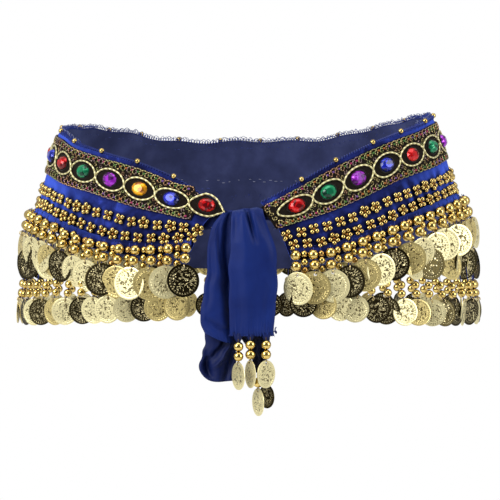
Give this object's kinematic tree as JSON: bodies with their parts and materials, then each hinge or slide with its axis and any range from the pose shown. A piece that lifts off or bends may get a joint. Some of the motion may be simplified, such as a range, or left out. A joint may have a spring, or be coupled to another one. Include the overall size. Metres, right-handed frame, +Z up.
{
  "type": "belly dance hip scarf",
  "caption": "Hip scarf for belly dance: a curved velvet band with a gem braid and a fringe of beads and coins, tied at the front with a chiffon half bow.",
  "frame": {"origin": "on the wearer's vertical axis, in the middle of the hollow of the band, level with the knot", "axes": "+X to the viewer's right, -Y out through the knot at the front, +Z up"},
  "size_m": [0.3739, 0.2874, 0.2279],
  "materials": {
    "velvet": "royal blue velvet",
    "braid": "black braid with gold cord and faceted stones",
    "gold": "bright stamped coins and polished beads",
    "chiffon": "royal blue chiffon, gathered"
  },
  "bodies": {
    "root": {"velvet_band": "velvet", "gem_braid": "braid", "coin_fringe_right": "gold", "coin_fringe_back": "gold", "coin_fringe_left": "gold", "tie_strap_left": "chiffon", "tie_knot": "chiffon", "tie_strap_right": "chiffon", "tie_front_tail": "chiffon", "tie_loop": "chiffon", "tie_loop_back": "chiffon", "tie_tail_point": "chiffon", "tail_tassel": "gold", "point_tassel": "gold"}
  },
  "joints": []
}
